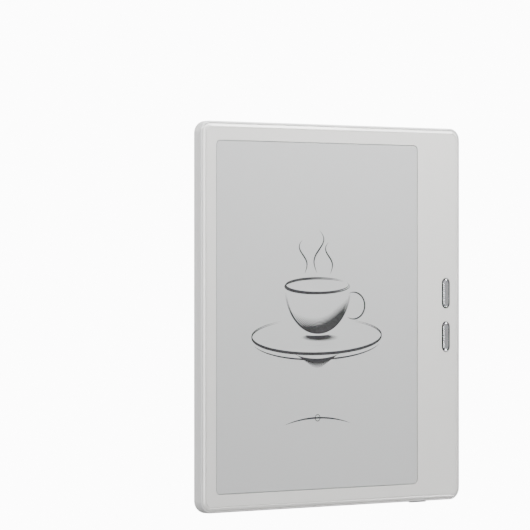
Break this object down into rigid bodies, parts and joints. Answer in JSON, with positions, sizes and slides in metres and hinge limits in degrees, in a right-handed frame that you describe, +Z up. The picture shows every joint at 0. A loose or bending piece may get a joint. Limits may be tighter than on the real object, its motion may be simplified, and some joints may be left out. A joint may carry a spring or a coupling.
{
  "type": "e-reader",
  "caption": "Slim hand-held e-reader with a pale ink screen, an off-centre grip with raised page keys, a card tray, a charging port and a leather-grained back.",
  "frame": {"origin": "centre of the rear face, on the outer surface of the rear panels", "axes": "reader upright: +Z up its height, +X across it towards the grip with the page keys, the screen looks along -Y and the back along +Y"},
  "size_m": [0.137, 0.0069, 0.1566],
  "materials": {
    "cover_plastic": "fine moulded satin, off-white polycarbonate",
    "leather_grain_plastic": "off-white, moulded with a leather grain",
    "bezel_plastic": "smooth painted satin, warm off-white",
    "screen_sheet": "etched anti-glare sheet over the ink screen",
    "chromed_key": "satin chromed metal",
    "dark_anodised": "dark anodised aluminium",
    "port_steel": "drawn stainless steel",
    "black_moulding": "black moulded plastic",
    "circuit_laminate": "solder-masked glass-epoxy laminate",
    "chip_resin": "black moulding compound",
    "shield_tin": "tinned sheet metal",
    "frame_magnesium": "die-cast and shot-blasted magnesium",
    "battery_foil": "silver laminated foil pouch",
    "flex_polyimide": "amber polyimide film over copper",
    "display_glass": "thin display glass",
    "light_guide_acrylic": "clear light guide",
    "ink_layer": "pale electronic ink laminate",
    "adhesive_foam": "black foam and adhesive",
    "screw_steel": "zinc plated steel",
    "magnet_nickel": "nickel plated magnet",
    "sound_mesh": "black woven acoustic mesh on foam",
    "lead_insulation": "coloured lead insulation",
    "lamp_resin": "pale lamp resin"
  },
  "bodies": {
    "housing": {"audio_chip": "chip_resin", "battery_board": "circuit_laminate", "battery_pack": "battery_foil", "battery_socket": "black_moulding", "battery_tapes": "adhesive_foam", "battery_wires": "lead_insulation", "board_screws": "screw_steel", "card_socket": "shield_tin", "cover_magnets": "magnet_nickel", "display_backplane": "display_glass", "display_connector": "black_moulding", "display_drivers": "chip_resin", "display_flex": "flex_polyimide", "display_gasket": "adhesive_foam", "frame_screws": "screw_steel", "front_bezel": "bezel_plastic", "hall_sensor": "chip_resin", "ink_film": "ink_layer", "lever_pivot": "port_steel", "light_guide": "light_guide_acrylic", "light_strip": "flex_polyimide", "light_strip_lamps": "lamp_resin", "lower_speaker": "black_moulding", "lower_speaker_mesh": "sound_mesh", "main_board": "circuit_laminate", "memory_chip": "chip_resin", "midframe": "frame_magnesium", "page_key_board": "circuit_laminate", "page_key_domes": "shield_tin", "power_chip": "chip_resin", "power_flex": "flex_polyimide", "power_shield": "shield_tin", "power_switch": "black_moulding", "processor_chip": "chip_resin", "processor_shield": "shield_tin", "rear_cover": "cover_plastic", "rear_grip_panel": "leather_grain_plastic", "rear_main_panel": "leather_grain_plastic", "screen_cover": "screen_sheet", "storage_chip": "chip_resin", "touch_connector": "black_moulding", "touch_flex": "flex_polyimide", "touch_panel": "light_guide_acrylic", "upper_speaker": "black_moulding", "upper_speaker_mesh": "sound_mesh", "usb_c_port": "port_steel", "usb_c_tongue": "black_moulding", "wireless_antenna": "flex_polyimide", "wireless_module": "shield_tin"},
    "page_up_key": {"page_up_key": "chromed_key"},
    "page_down_key": {"page_down_key": "chromed_key"},
    "power_button": {"power_button": "dark_anodised"},
    "card_tray": {"card_tray": "cover_plastic"},
    "eject_rod": {"eject_rod": "port_steel"},
    "eject_lever": {"eject_lever": "port_steel"}
  },
  "joints": [
    {"name": "page_up_press", "type": "slide", "parent": "housing", "child": "page_up_key", "axis": [0, 1, 0], "range_m": [0, 0.0003], "stiffness_N_per_m": 1500},
    {"name": "page_down_press", "type": "slide", "parent": "housing", "child": "page_down_key", "axis": [0, 1, 0], "range_m": [0, 0.0003], "stiffness_N_per_m": 1500},
    {"name": "power_press", "type": "slide", "parent": "housing", "child": "power_button", "axis": [0, 0, 1], "range_m": [0, 0.00025], "stiffness_N_per_m": 1500},
    {"name": "card_tray_slide", "type": "slide", "parent": "housing", "child": "card_tray", "axis": [1, 0, 0], "range_m": [0, 0.017]},
    {"name": "eject_rod_push", "type": "slide", "parent": "housing", "child": "eject_rod", "axis": [-1, 0, 0], "range_m": [0, 0.00075]},
    {"name": "eject_lever_swing", "type": "hinge", "parent": "housing", "child": "eject_lever", "pos_m": [0.051, -0.0028, 0.0305], "axis": [0, -1, 0], "range_deg": [0, 12]}
  ],
  "couplings": [
    {"joint": "eject_lever_swing", "follows": "eject_rod_push", "rad_per_m": 274}
  ]
}
